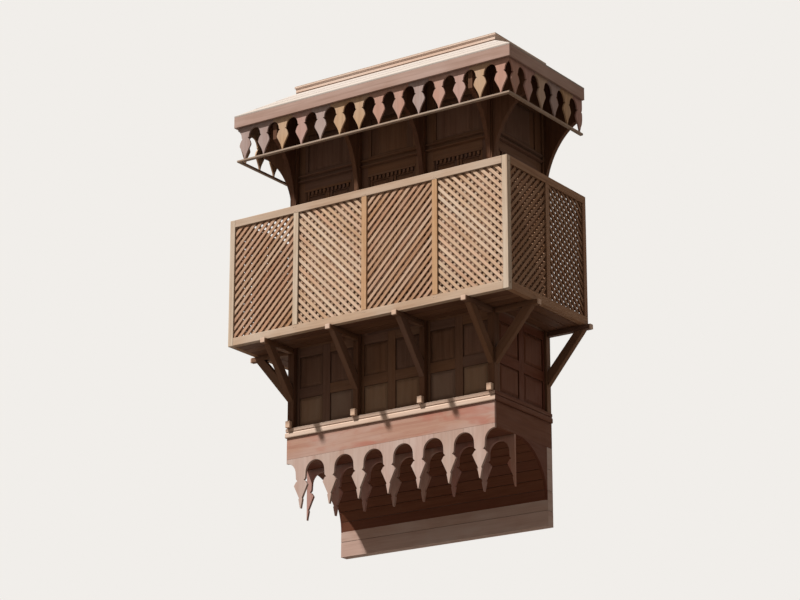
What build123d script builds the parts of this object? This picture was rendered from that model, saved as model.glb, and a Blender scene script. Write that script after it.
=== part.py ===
from build123d import *
import os

os.makedirs("parts", exist_ok=True)

# A wooden oriel screen that hangs on a house wall, in millimetres.
# The origin is on the back of the wall sill, at mid-width. The wall is the plane Y = 0,
# the screen stands out towards -Y, +X is to the right and +Z is up.

# Body, the closet that the rest hangs on
body_half_width = 1002
body_face = 790
wall_thickness = 35
post_width = 48
post_proud = 45
corner_post_width = 60
post_foot_proud = 53
post_foot_height = 60
side_inset = 20
wall_post_depth = 60
sill_bottom = -40
sill_top = 100
head_height = 80

# Floor and the cornice round its edge
floor_top = 40
floor_thickness = 30
cornice_nose = 12
cornice_nose_height = 44
cornice_round = 3
cornice_band = 8

# Apron, fringes and the coved foot below the floor
apron_proud = 3
apron_thickness = 22
apron_joint = -221
soffit_bottom = -248
soffit_thickness = 20
fringe_pendant_width = 286
inner_fringe_setback = 50
cove_radius = 430
cove_thickness = 15
foot_bottom = -887
foot_depth = 80
foot_board = 25

# Void between two fringe pendants: half widths, and depths below the top of the fringe
fringe_depth = 418
fringe_arch_top = 34
fringe_spring = 114
fringe_spring_half = 92
fringe_jamb_half = 96
fringe_notch_top = 174
fringe_notch = 190
fringe_notch_bottom = 198
fringe_notch_half = 111
fringe_bulge = 227
fringe_bulge_half = 76
fringe_shoulder = 335
fringe_shoulder_half = 129
fringe_shoulder_height = 7
fringe_shoulder_step = 6
fringe_tip_half = 4

# Lattice box in front of the windows
panel_pitch = 680
balcony_half_width = 2 * panel_pitch
balcony_depth = 1180
balcony_level = 714
lattice_height = 1091
frame_thickness = 50
stile_width = 50
top_rail = 65
bottom_rail = 68
lattice_setback = 10
slat_thickness = 10
slat_width = 70
slat_pitch = 128
slat_angle = 45
balcony_floor_thickness = 20
joist_width = 44
joist_height = 40
joist_end = 45
strut_thickness = 40
strut_foot = 295
strut_foot_height = 85
strut_head_setback = 20
strut_head_length = 65

# Canopy
crown_bottom = 3006
crown_height = 58
crown_overhang = 11
crown_board = 22
header_inset = 19
header_height = 146
header_thickness = 50
roof_gap = 6
roof_drop = 257
roof_run = 370
roof_edge = 12
roof_root = 35
fascia_height = 96
fascia_thickness = 24
frieze_thickness = 20
frieze_board_width = 193
frieze_height = 367
frieze_rail_height = 34
frieze_rail_proud = 4
bracket_thickness = 40
bracket_height = 440
bracket_rail_gap = 24
bracket_rise = (0.1, 1)
bracket_flare = (0.9, 0.6)

# Void between two frieze boards: half widths, and heights above the thin rail
frieze_void_top = 249
frieze_bulb_half = 51
frieze_shoulder_half = 33
frieze_shoulder = 221
frieze_nick_half = 66
frieze_nick = 167
frieze_nick_height = 18
frieze_neck_half = 26
frieze_neck = 90
frieze_neck_height = 14
frieze_foot_half = 85

# Panels of the body
bay_stile = 60
field_depth = 10
raised_height = 8
raised_bevel = 22
raised_margin = 6
low_stile = 26
low_middle_stile = 74
low_rail = 22
middle_rail_bottom = 292
middle_rail_top = 376
low_top_rail = 74
window_sill = 46
window_head = 69
moulding_spacing = 46
moulding_height = 22
moulding_proud = 24
moulding_bevel = 6
moulding_to_field = 45
leaf_setback = 12
leaf_thickness = 16
leaf_stile = 34
leaf_rail = 60
leaf_field_depth = 6
leaf_rows = 3
upper_field_height = 330
upper_field_to_top = 280
upper_field_margin = 90
upper_panel_margin = 72

# Places worked out from the sizes above
body_top = crown_bottom - header_height
low_field_top = balcony_level - low_top_rail
window_bottom = balcony_level + window_sill
upper_field_top = body_top - upper_field_to_top
upper_field_bottom = upper_field_top - upper_field_height
moulding_high = upper_field_bottom - moulding_to_field
moulding_low = moulding_high - moulding_spacing
window_top = moulding_low - window_head
front_bay = (2 * (body_half_width - corner_post_width) - 2 * post_width) / 3
inner_post = (front_bay + post_width) / 2
corner_post = body_half_width - corner_post_width / 2
post_face = body_face + post_proud
wall_back = body_face - wall_thickness
side_bay = wall_back - wall_post_depth
side_face = body_half_width - side_inset
apron_half_width = body_half_width
apron_face = post_face + apron_proud
cove_start = foot_depth + cove_radius
inner_fringe_face = cove_start + inner_fringe_setback
header_half_width = body_half_width
header_depth = body_face - header_inset
roof_top = crown_bottom - roof_gap
fascia_top = roof_top - roof_drop
frieze_rail_top = fascia_top - frieze_height
bracket_tip = frieze_rail_top + bracket_rail_gap
bracket_bottom = bracket_tip - bracket_height
rim_half_width = header_half_width + roof_run
rim_depth = header_depth + roof_run
frieze_half_width = rim_half_width - fascia_thickness
frieze_depth = rim_depth - fascia_thickness
frieze_boards = round(2 * frieze_half_width / frieze_board_width)
frieze_pitch = 2 * frieze_half_width / frieze_boards
fringe_pendants = round(2 * apron_half_width / fringe_pendant_width)
fringe_pitch = 2 * apron_half_width / fringe_pendants
lattice_top = balcony_level + lattice_height


def save(node, name):
    """Labels a finished piece and writes it as one STEP file."""
    node.part.label = name
    export_step(node.part, f"parts/{name}.step")


def mirrored(piece):
    """Gives the same piece on the other side of the middle plane."""
    with BuildPart() as other:
        mirror(piece.part, about=Plane.YZ)
    return other


def both_sides(piece):
    """Gives a piece together with its mirror image."""
    with BuildPart() as pair:
        add(piece.part)
        mirror(piece.part, about=Plane.YZ)
    return pair


def block(x0, x1, y0, y1, z0, z1):
    """Adds a board between two corners to the part under construction."""
    with Locations((x0, y0, z0)):
        Box(x1 - x0, y1 - y0, z1 - z0, align=(Align.MIN, Align.MIN, Align.MIN))


def raised_panel(face, centre, width, height):
    """Adds a fielded panel with bevelled edges, standing on a face plane."""
    with BuildSketch(face) as foot_outline:
        with Locations(centre):
            Rectangle(width, height)
    with BuildSketch(face.offset(raised_height)) as top_outline:
        with Locations(centre):
            Rectangle(width - 2 * raised_bevel, height - 2 * raised_bevel)
    loft((foot_outline.sketch, top_outline.sketch), ruled=True)


def low_wall(face, middle, width):
    """Makes the wall below the lattice box: a frame with two by two fielded panels."""
    field_width = (width - low_middle_stile) / 2 - low_stile
    column_offset = (field_width + low_middle_stile) / 2
    columns = (middle - column_offset, middle + column_offset)
    rows = ((floor_top + low_rail, middle_rail_bottom), (middle_rail_top, low_field_top))
    with BuildPart() as wall:
        with BuildSketch(face):
            with Locations((middle, (floor_top + balcony_level) / 2)):
                Rectangle(width, balcony_level - floor_top)
        extrude(amount=-wall_thickness)
        with BuildSketch(face):
            for low, high in rows:
                for column in columns:
                    with Locations((column, (low + high) / 2)):
                        Rectangle(field_width, high - low)
        extrude(amount=-field_depth, mode=Mode.SUBTRACT)
        for low, high in rows:
            for column in columns:
                panel_width = field_width - 2 * raised_margin
                panel_height = high - low - 2 * raised_margin
                raised_panel(face.offset(-field_depth), (column, (low + high) / 2), panel_width, panel_height)
    return wall


def window_wall(face, middle, width):
    """Makes the wall with the window opening, the twin moulding and one fielded panel above."""
    opening = width - 2 * bay_stile
    field_width = width - 2 * upper_field_margin
    field_centre = (middle, (upper_field_top + upper_field_bottom) / 2)
    with BuildPart() as wall:
        with BuildSketch(face):
            with Locations((middle, (balcony_level + body_top) / 2)):
                Rectangle(width, body_top - balcony_level)
            with Locations((middle, (window_bottom + window_top) / 2)):
                Rectangle(opening, window_top - window_bottom, mode=Mode.SUBTRACT)
        extrude(amount=-wall_thickness)
        with BuildSketch(face):
            with Locations(field_centre):
                Rectangle(field_width, upper_field_height)
        extrude(amount=-field_depth, mode=Mode.SUBTRACT)
        panel_width = field_width - 2 * upper_panel_margin
        panel_height = upper_field_height - 2 * raised_margin
        raised_panel(face.offset(-field_depth), field_centre, panel_width, panel_height)
        for low in (moulding_low, moulding_high):
            with BuildSketch(face):
                with Locations((middle, low)):
                    Rectangle(width, moulding_height, align=(Align.CENTER, Align.MIN))
            with BuildSketch(face.offset(moulding_proud)):
                with Locations((middle, low + moulding_bevel)):
                    Rectangle(width, moulding_height - 2 * moulding_bevel, align=(Align.CENTER, Align.MIN))
            loft(ruled=True)
    return wall


def window_leaves(face, middle, width):
    """Makes the pair of closed leaves in a window opening, each with its recessed fields."""
    opening = width - 2 * bay_stile
    height = window_top - window_bottom
    column_pitch = opening / 2
    row_pitch = (height - leaf_rail) / leaf_rows
    centre = (middle, (window_bottom + window_top) / 2)
    with BuildPart() as leaves:
        with BuildSketch(face.offset(-leaf_setback)):
            with Locations(centre):
                Rectangle(opening, height)
        extrude(amount=-leaf_thickness)
        with BuildSketch(face.offset(-leaf_setback)):
            with Locations(centre):
                with GridLocations(column_pitch, row_pitch, 2, leaf_rows):
                    Rectangle(column_pitch - 2 * leaf_stile, row_pitch - leaf_rail)
        extrude(amount=-leaf_field_depth, mode=Mode.SUBTRACT)
    return leaves


def lattice_panel(face, middle, width, low, high, lean):
    """Makes two crossing layers of slats, cut to the frame's opening and fused where they cross."""
    reach = width + high - low
    rows = int(reach / slat_pitch) + 1
    with BuildPart() as panel:
        for layer, angle in enumerate((lean, -lean)):
            with BuildSketch(face.offset(-lattice_setback - layer * slat_thickness)):
                with Locations(Location((middle, (low + high) / 2, 0), (0, 0, angle))):
                    with GridLocations(0, slat_pitch, 1, rows):
                        Rectangle(reach, slat_width)
                with Locations((middle, (low + high) / 2)):
                    Rectangle(width, high - low, mode=Mode.INTERSECT)
            extrude(amount=-slat_thickness)
    return panel


def fringe_void():
    """Draws the keyhole arch between two pendants, hanging from the top of the fringe."""
    with BuildSketch() as void:
        with BuildLine():
            arch = ThreePointArc(
                (-fringe_spring_half, -fringe_spring),
                (0, -fringe_arch_top),
                (fringe_spring_half, -fringe_spring),
            )
            side = Polyline(
                arch @ 1,
                (fringe_jamb_half, -fringe_notch_top),
                (fringe_notch_half, -fringe_notch),
                (fringe_jamb_half, -fringe_notch_bottom),
                (fringe_bulge_half, -fringe_bulge),
                (fringe_shoulder_half, -fringe_shoulder),
                (fringe_shoulder_half - fringe_shoulder_step, -fringe_shoulder - fringe_shoulder_height),
                (fringe_pitch / 2 - fringe_tip_half, -fringe_depth),
                (0, -fringe_depth),
            )
            mirror(side, about=Plane.YZ)
        make_face()
    return void.sketch


def fringe_board(face, top, arches):
    """Makes a fringe board hanging from its top edge, with its keyhole arches cut out."""
    void = fringe_void()
    with BuildPart() as board:
        with BuildSketch(face):
            with Locations((0, top)):
                Rectangle(2 * apron_half_width, fringe_depth, align=(Align.CENTER, Align.MAX))
                with GridLocations(fringe_pitch, 0, arches, 1):
                    add(void, mode=Mode.SUBTRACT)
        extrude(amount=-apron_thickness)
    return board


def frieze_void():
    """Draws the bulb and flared foot between two frieze boards, standing on the thin rail."""
    with BuildSketch() as void:
        with BuildLine():
            bulb = ThreePointArc(
                (0, frieze_void_top),
                (frieze_shoulder_half, frieze_shoulder),
                (frieze_bulb_half, frieze_nick + frieze_nick_height / 2),
            )
            Polyline(
                bulb @ 1,
                (frieze_nick_half, frieze_nick),
                (frieze_bulb_half, frieze_nick - frieze_nick_height / 2),
                (frieze_neck_half, frieze_neck + frieze_neck_height / 2),
                (frieze_neck_half, frieze_neck - frieze_neck_height / 2),
                (frieze_foot_half, 0),
                (0, 0),
            )
            mirror(about=Plane.YZ)
        make_face()
    return void.sketch


def frieze_board(face, start, end, first_void, count, rail_start, rail_end):
    """Makes a run of shaped frieze boards standing on their thin bottom rail."""
    void = frieze_void()
    with BuildPart() as board:
        with BuildSketch(face):
            with Locations(((start + end) / 2, (fascia_top + frieze_rail_top) / 2)):
                Rectangle(end - start, fascia_top - frieze_rail_top)
            with Locations(*[(first_void + k * frieze_pitch, frieze_rail_top) for k in range(count)]):
                add(void, mode=Mode.SUBTRACT)
        extrude(amount=-frieze_thickness)
        with BuildSketch(face.offset(frieze_rail_proud)):
            with Locations(((rail_start + rail_end) / 2, frieze_rail_top)):
                Rectangle(rail_end - rail_start, frieze_rail_height, align=(Align.CENTER, Align.MAX))
        extrude(amount=-frieze_thickness - 2 * frieze_rail_proud)
    return board


def bracket_profile(foot):
    """Draws a canopy bracket: out from the wall, up along the roof's underside."""
    tip = roof_run - fascia_thickness - frieze_thickness
    slope = (roof_top - roof_root - fascia_top) / (roof_run - fascia_thickness)
    tip_top = fascia_top + slope * frieze_thickness
    shoulder = roof_run - fascia_thickness - (body_top - fascia_top) / slope
    with BuildSketch() as profile:
        with BuildLine():
            curve = Spline(
                (foot, bracket_bottom),
                (tip, bracket_tip),
                tangents=(bracket_rise, bracket_flare),
            )
            Polyline(curve @ 1, (tip, tip_top), (shoulder, body_top), (foot, body_top), curve @ 0)
        make_face()
    return profile.sketch


def strut_profile(foot, outer):
    """Draws a strut from a post up to the underside of a joist."""
    head = balcony_level - joist_height
    with BuildSketch() as profile:
        with BuildLine():
            Polyline(
                (foot, strut_foot),
                (outer - strut_head_setback, head),
                (outer - strut_head_setback - strut_head_length, head),
                (foot, strut_foot + strut_foot_height),
                close=True,
            )
        make_face()
    return profile.sketch


def roof_profile():
    """Draws the roof's section, from the header out to its seat on the fascia."""
    seat = roof_run - fascia_thickness
    with BuildSketch() as profile:
        with BuildLine():
            Polyline(
                (0, roof_top),
                (roof_run, fascia_top + roof_edge),
                (roof_run, fascia_top),
                (seat, fascia_top),
                (0, roof_top - roof_root),
                close=True,
            )
        make_face()
    return profile.sketch


def outward(origin, direction):
    """Gives a section plane whose X axis points out of the wall in a direction and whose Y axis is up."""
    across = Vector(*direction).cross(Vector(0, 0, 1))
    return Plane(origin=origin, x_dir=direction, z_dir=(across.X, across.Y, across.Z))


# Planes of the faces that pieces are set out on. Their own Y axis is up.
front = Plane.XZ
right = Plane.YZ

# Wall frame, bedded on the house wall
with BuildPart() as wall_frame:
    for side in (-1, 1):
        x0, x1 = sorted((side * body_half_width, side * (body_half_width - corner_post_width)))
        block(x0, x1, -wall_post_depth, 0, floor_top, crown_bottom)
    inner = body_half_width - corner_post_width
    block(-inner, inner, -wall_post_depth, 0, sill_bottom, sill_top)
    block(-inner, inner, -wall_post_depth, 0, crown_bottom - head_height, crown_bottom)
save(wall_frame, "wall_frame")

# Posts of the front, standing on the cornice
with BuildPart() as front_posts:
    for middle, width in (
        (-corner_post, corner_post_width),
        (-inner_post, post_width),
        (inner_post, post_width),
        (corner_post, corner_post_width),
    ):
        block(middle - width / 2, middle + width / 2, -post_face, -wall_back, floor_top, body_top)
        block(
            middle - width / 2,
            middle + width / 2,
            -post_face - post_foot_proud,
            -post_face,
            floor_top,
            floor_top + post_foot_height,
        )
save(front_posts, "front_posts")

# Floor of the closet
with BuildPart() as floor_board:
    half = body_half_width - corner_post_width
    block(-half, half, -wall_back, -wall_post_depth, floor_top - floor_thickness, floor_top)
save(floor_board, "floor_board")

# Cornice moulding round the floor
with BuildPart() as cornice:
    for overhang, height in (
        (cornice_band, floor_top - sill_bottom),
        (cornice_nose, cornice_nose_height),
    ):
        with BuildSketch(Plane.XY.offset(sill_bottom)):
            Rectangle(
                2 * (apron_half_width + overhang),
                apron_face + overhang,
                align=(Align.CENTER, Align.MAX),
            )
            Rectangle(
                2 * (body_half_width - corner_post_width),
                wall_back,
                align=(Align.CENTER, Align.MAX),
                mode=Mode.SUBTRACT,
            )
        extrude(amount=height)
    nose_top = sill_bottom + cornice_nose_height
    nose_edges = cornice.edges().filter_by(
        lambda edge: abs(edge.center().Z - nose_top) < 0.1 and edge.length > cornice_nose
    )
    outer_edges = nose_edges.filter_by(
        lambda edge: abs(edge.center().X) > apron_half_width + cornice_band + 0.1
        or edge.center().Y < -apron_face - cornice_band - 0.1
    )
    fillet(outer_edges, cornice_round)
save(cornice, "cornice")

# Walls of the front bays and of the sides
for number, middle in enumerate((-front_bay - post_width, 0, front_bay + post_width), start=1):
    low_front = low_wall(front.offset(body_face), middle, front_bay)
    save(low_front, f"low_panel_front_{number}")
    window_front = window_wall(front.offset(body_face), middle, front_bay)
    save(window_front, f"window_wall_front_{number}")

side_middle = -(wall_back + wall_post_depth) / 2
save(both_sides(low_wall(right.offset(side_face), side_middle, side_bay)), "low_panel_sides")
window_right = window_wall(right.offset(side_face), side_middle, side_bay)
save(window_right, "window_wall_right")
save(mirrored(window_right), "window_wall_left")

# Closed leaves of all the windows
with BuildPart() as leaves:
    for middle in (-front_bay - post_width, 0, front_bay + post_width):
        add(window_leaves(front.offset(body_face), middle, front_bay).part)
    add(both_sides(window_leaves(right.offset(side_face), side_middle, side_bay)).part)
save(leaves, "window_leaves")

# Apron boards below the cornice
with BuildPart() as apron_front:
    block(
        -apron_half_width,
        apron_half_width,
        -apron_face,
        -apron_face + apron_thickness,
        apron_joint,
        sill_bottom,
    )
save(apron_front, "apron_front")

with BuildPart() as apron_right:
    block(
        apron_half_width - apron_thickness,
        apron_half_width,
        -apron_face + apron_thickness,
        0,
        soffit_bottom,
        sill_bottom,
    )
save(both_sides(apron_right), "apron_sides")

# Fringes with keyhole arches
fringe_front = fringe_board(front.offset(apron_face), apron_joint, fringe_pendants + 1)
save(fringe_front, "fringe_front")
fringe_inner = fringe_board(front.offset(inner_fringe_face), soffit_bottom, fringe_pendants)
save(fringe_inner, "fringe_inner")

# Soffit behind the front fringe
with BuildPart() as soffit:
    half = apron_half_width - apron_thickness
    block(
        -half,
        half,
        -apron_face + apron_thickness,
        -cove_start,
        soffit_bottom,
        soffit_bottom + soffit_thickness,
    )
save(soffit, "soffit")

# Cove that carries the soffit down to the foot, and its end cheeks
with BuildPart() as cove:
    with BuildSketch(right.offset(-apron_half_width + apron_thickness)):
        with Locations((-cove_start, soffit_bottom - cove_radius)):
            Circle(cove_radius + cove_thickness)
            Circle(cove_radius, mode=Mode.SUBTRACT)
            Rectangle(
                cove_radius,
                cove_radius + cove_thickness,
                align=(Align.MIN, Align.MIN),
                mode=Mode.INTERSECT,
            )
    extrude(amount=2 * (apron_half_width - apron_thickness))
save(cove, "cove")

with BuildPart() as cheeks:
    with BuildSketch(right.offset(apron_half_width - apron_thickness)):
        with Locations((-foot_depth, soffit_bottom)):
            Rectangle(cove_radius, cove_radius, align=(Align.MAX, Align.MAX))
        with Locations((-cove_start, soffit_bottom - cove_radius)):
            Circle(cove_radius, mode=Mode.SUBTRACT)
    extrude(amount=apron_thickness)
    mirror(about=Plane.YZ)
save(cheeks, "cheeks")

# Foot: a clad box, open to the wall
with BuildPart() as foot:
    block(-apron_half_width, apron_half_width, -foot_depth, 0, foot_bottom, soffit_bottom)
    with Locations((0, 0, (foot_bottom + soffit_bottom) / 2)):
        Box(
            2 * (apron_half_width - foot_board),
            foot_depth - foot_board,
            soffit_bottom - foot_bottom - 2 * foot_board,
            align=(Align.CENTER, Align.MAX, Align.CENTER),
            mode=Mode.SUBTRACT,
        )
save(foot, "foot")

# Joists that carry the lattice box, with their ends showing
joist_bottom = balcony_level - joist_height
with BuildPart() as joists:
    for middle in (-corner_post, -inner_post, inner_post, corner_post):
        block(
            middle - joist_width / 2,
            middle + joist_width / 2,
            -balcony_depth - joist_end,
            -post_face,
            joist_bottom,
            balcony_level,
        )
    for side in (-1, 1):
        x0, x1 = sorted((side * body_half_width, side * (balcony_half_width + joist_end)))
        for back in (-wall_back - joist_width / 2 - post_proud, -joist_width):
            block(x0, x1, back, back + joist_width, joist_bottom, balcony_level)
save(joists, "joists")

# Struts from the posts up to the joists
with BuildPart() as struts:
    for middle in (-corner_post, -inner_post, inner_post, corner_post):
        with BuildSketch(outward((middle + strut_thickness / 2, 0, 0), (0, -1, 0))):
            add(strut_profile(post_face, balcony_depth))
    extrude(amount=strut_thickness)
    for back in (-wall_back - post_proud, -joist_width / 2):
        for side in (-1, 1):
            with BuildSketch(outward((0, back + side * strut_thickness / 2, 0), (side, 0, 0))):
                add(strut_profile(body_half_width, balcony_half_width))
    extrude(amount=strut_thickness)
save(struts, "struts")

# Floor of the lattice box, round the closet
with BuildPart() as balcony_floor:
    with BuildSketch(Plane.XY.offset(balcony_level)):
        Rectangle(
            2 * (balcony_half_width - frame_thickness),
            balcony_depth - frame_thickness,
            align=(Align.CENTER, Align.MAX),
        )
        Rectangle(2 * body_half_width, post_face, align=(Align.CENTER, Align.MAX), mode=Mode.SUBTRACT)
    extrude(amount=balcony_floor_thickness)
save(balcony_floor, "balcony_floor")

# Frames of the lattice box
opening_bottom = balcony_level + bottom_rail
opening_top = lattice_top - top_rail
rail_half = balcony_half_width - stile_width
with BuildPart() as lattice_frame_front:
    with BuildSketch(front.offset(balcony_depth)):
        with Locations((0, (balcony_level + lattice_top) / 2)):
            Rectangle(2 * rail_half, lattice_height)
        with Locations((0, (opening_bottom + opening_top) / 2)):
            Rectangle(2 * rail_half, opening_top - opening_bottom, mode=Mode.SUBTRACT)
            with GridLocations(panel_pitch, 0, 3, 1):
                Rectangle(stile_width, opening_top - opening_bottom)
    extrude(amount=-frame_thickness)
save(lattice_frame_front, "lattice_frame_front")

side_panel = (balcony_depth - 3 * stile_width) / 2
side_panel_middles = (
    -balcony_depth + stile_width + side_panel / 2,
    -stile_width - side_panel / 2,
)
with BuildPart() as lattice_frame_right:
    with BuildSketch(right.offset(balcony_half_width)):
        with Locations((-balcony_depth / 2, (balcony_level + lattice_top) / 2)):
            Rectangle(balcony_depth, lattice_height)
        for middle in side_panel_middles:
            with Locations((middle, (opening_bottom + opening_top) / 2)):
                Rectangle(side_panel, opening_top - opening_bottom, mode=Mode.SUBTRACT)
    extrude(amount=-frame_thickness)
save(lattice_frame_right, "lattice_frame_right")
save(mirrored(lattice_frame_right), "lattice_frame_left")

# Lattice panels, leaning one way and then the other
front_panel_edges = (
    (-rail_half, -panel_pitch - stile_width / 2),
    (-panel_pitch + stile_width / 2, -stile_width / 2),
    (stile_width / 2, panel_pitch - stile_width / 2),
    (panel_pitch + stile_width / 2, rail_half),
)
for number, (x0, x1) in enumerate(front_panel_edges, start=1):
    lean = slat_angle if number % 2 else -slat_angle
    front_panel = lattice_panel(
        front.offset(balcony_depth), (x0 + x1) / 2, x1 - x0, opening_bottom, opening_top, lean
    )
    save(front_panel, f"lattice_front_{number}")

for number, middle in enumerate(side_panel_middles, start=1):
    lean = slat_angle if number % 2 else -slat_angle
    side_lattice = lattice_panel(
        right.offset(balcony_half_width), middle, side_panel, opening_bottom, opening_top, lean
    )
    save(side_lattice, f"lattice_right_{number}")
    save(mirrored(side_lattice), f"lattice_left_{number}")

# Header on top of the walls, which the roof leans on
with BuildPart() as header:
    with BuildSketch(Plane.XY.offset(body_top)):
        Rectangle(2 * header_half_width, header_depth, align=(Align.CENTER, Align.MAX))
        Rectangle(
            2 * (header_half_width - header_thickness),
            header_depth - header_thickness,
            align=(Align.CENTER, Align.MAX),
            mode=Mode.SUBTRACT,
        )
        Rectangle(
            2 * header_half_width,
            wall_post_depth,
            align=(Align.CENTER, Align.MAX),
            mode=Mode.SUBTRACT,
        )
    extrude(amount=crown_bottom - body_top)
save(header, "header")

# Crown: a band with a flat top board
with BuildPart() as crown:
    with BuildSketch(Plane.XY.offset(crown_bottom)):
        Rectangle(
            2 * (header_half_width + crown_overhang),
            header_depth + crown_overhang,
            align=(Align.CENTER, Align.MAX),
        )
    extrude(amount=crown_height)
    with BuildSketch(Plane.XY.offset(crown_bottom)):
        Rectangle(
            2 * (header_half_width - header_thickness),
            header_depth - header_thickness,
            align=(Align.CENTER, Align.MAX),
        )
    extrude(amount=crown_height - crown_board, mode=Mode.SUBTRACT)
save(crown, "crown")

# Skirt roof, mitred along its hips
hip = Plane(origin=(header_half_width, -header_depth, 0), x_dir=(1, -1, 0), z_dir=(1, 1, 0))
other_hip = Plane(origin=(-header_half_width, -header_depth, 0), x_dir=(-1, -1, 0), z_dir=(-1, 1, 0))
with BuildPart() as roof_front:
    with BuildSketch(outward((rim_half_width, -header_depth, 0), (0, -1, 0))):
        add(roof_profile())
    extrude(amount=2 * rim_half_width)
    split(bisect_by=hip, keep=Keep.BOTTOM)
    split(bisect_by=other_hip, keep=Keep.BOTTOM)
save(roof_front, "roof_front")

with BuildPart() as roof_right:
    with BuildSketch(outward((header_half_width, -rim_depth, 0), (1, 0, 0))):
        add(roof_profile())
    extrude(amount=-rim_depth)
    split(bisect_by=hip, keep=Keep.TOP)
save(both_sides(roof_right), "roof_sides")

# Fascia round the rim
with BuildPart() as fascia_front:
    block(
        -rim_half_width,
        rim_half_width,
        -rim_depth,
        -frieze_depth,
        fascia_top - fascia_height,
        fascia_top,
    )
save(fascia_front, "fascia_front")

with BuildPart() as fascia_right:
    block(
        frieze_half_width,
        rim_half_width,
        -frieze_depth,
        0,
        fascia_top - fascia_height,
        fascia_top,
    )
save(both_sides(fascia_right), "fascia_sides")

# Frieze of shaped boards behind the fascia
frieze_front = frieze_board(
    front.offset(frieze_depth),
    -frieze_half_width,
    frieze_half_width,
    -frieze_half_width,
    frieze_boards + 1,
    -frieze_half_width - frieze_rail_proud,
    frieze_half_width + frieze_rail_proud,
)
save(frieze_front, "frieze_front")

side_voids = int(frieze_depth / frieze_pitch) + 1
frieze_right = frieze_board(
    right.offset(frieze_half_width),
    -frieze_depth + frieze_thickness,
    0,
    -frieze_depth,
    side_voids,
    -frieze_depth + frieze_thickness + frieze_rail_proud,
    0,
)
save(both_sides(frieze_right), "frieze_sides")

# Curved boards that carry the canopy
with BuildPart() as brackets:
    for middle in (-corner_post, -inner_post, inner_post, corner_post):
        with BuildSketch(outward((middle + bracket_thickness / 2, -header_depth, 0), (0, -1, 0))):
            add(bracket_profile(post_face - header_depth))
    extrude(amount=bracket_thickness)
    for back in (-wall_back - post_proud, -bracket_thickness / 2):
        for side in (-1, 1):
            with BuildSketch(
                outward((side * header_half_width, back + side * bracket_thickness / 2, 0), (side, 0, 0))
            ):
                add(bracket_profile(body_half_width - header_half_width))
    extrude(amount=bracket_thickness)
save(brackets, "brackets")
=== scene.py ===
"""Looks of the mashrabiya oriel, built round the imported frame.

Metres. +Z is up, the house wall is the plane Y = 0 and the screen stands out towards -Y.
Every board is its own closed shape with its own grain direction, as the joinery is.
"""

import math
import random

import bmesh
import bpy
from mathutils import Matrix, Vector


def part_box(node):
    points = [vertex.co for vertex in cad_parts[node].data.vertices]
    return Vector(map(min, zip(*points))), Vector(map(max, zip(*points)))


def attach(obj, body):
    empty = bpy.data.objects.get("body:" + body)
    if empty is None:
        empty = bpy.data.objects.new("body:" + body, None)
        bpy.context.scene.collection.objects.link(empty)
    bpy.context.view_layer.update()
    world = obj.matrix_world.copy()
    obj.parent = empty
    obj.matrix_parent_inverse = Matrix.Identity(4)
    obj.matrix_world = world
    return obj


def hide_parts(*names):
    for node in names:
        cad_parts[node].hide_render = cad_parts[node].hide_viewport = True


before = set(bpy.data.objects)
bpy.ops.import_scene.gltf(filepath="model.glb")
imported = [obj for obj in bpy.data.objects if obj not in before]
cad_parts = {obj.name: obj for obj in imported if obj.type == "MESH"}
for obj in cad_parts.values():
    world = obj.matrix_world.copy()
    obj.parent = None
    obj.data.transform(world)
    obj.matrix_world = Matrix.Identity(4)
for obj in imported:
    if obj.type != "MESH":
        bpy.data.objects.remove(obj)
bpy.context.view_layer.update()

X, Y, Z = 0, 1, 2
X_AXIS = Vector((1, 0, 0))
Y_AXIS = Vector((0, 1, 0))
Z_AXIS = Vector((0, 0, 1))


def span(node, axis):
    """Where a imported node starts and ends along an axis, to a tenth of a millimetre."""
    low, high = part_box(node)
    return round(low[axis], 4), round(high[axis], 4)


def depths(node):
    """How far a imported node's face and back stand out of the house wall."""
    face, back = span(node, Y)
    return -face, -back


# Closet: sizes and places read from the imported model
BODY_HALF = span("header", X)[1]
BODY_FACE, WALL_BACK = depths("low_panel_front_2")
WALL_THICKNESS = BODY_FACE - WALL_BACK
SIDE_FACE = span("low_panel_sides", X)[1]
BODY_TOP, CROWN_LOW = span("header", Z)
CROWN_HIGH = span("crown", Z)[1]
HEADER_DEPTH = depths("header")[0]
FLOOR_LOW, FLOOR_TOP = span("floor_board", Z)
WALL_POST = depths("wall_frame")[0]
SILL_BOTTOM = span("wall_frame", Z)[0]
WINDOW_LOW, WINDOW_HIGH = span("window_leaves", Z)

# Lattice box
BOX_INNER, BOX_HALF = span("lattice_frame_right", X)
BOX_DEPTH, BOX_INNER_DEPTH = depths("lattice_frame_front")
FRAME_THICKNESS = BOX_HALF - BOX_INNER
BOX_FLOOR, BOX_TOP = span("lattice_frame_front", Z)
OPENING_LOW, OPENING_HIGH = span("lattice_front_1", Z)
JOIST_LOW = span("joists", Z)[0]

# Canopy
ROOF_TOP = span("roof_front", Z)[1]
FASCIA_HALF = span("fascia_front", X)[1]
FASCIA_FACE, FRIEZE_DEPTH = depths("fascia_front")
FASCIA_THICKNESS = FASCIA_FACE - FRIEZE_DEPTH
FASCIA_LOW, FASCIA_TOP = span("fascia_front", Z)
FRIEZE_HALF = FASCIA_HALF - FASCIA_THICKNESS
ROOF_RUN = FASCIA_FACE - HEADER_DEPTH

# Base
APRON_FACE, APRON_BACK = depths("apron_front")
APRON_THICKNESS = APRON_FACE - APRON_BACK
APRON_JOINT = span("apron_front", Z)[0]
SOFFIT = span("apron_sides", Z)[0]
COVE_AT, FOOT_DEPTH = depths("cheeks")
COVE_RADIUS = COVE_AT - FOOT_DEPTH
FOOT_LOW = span("foot", Z)[0]
CHEEK_INNER = BODY_HALF - APRON_THICKNESS

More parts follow.
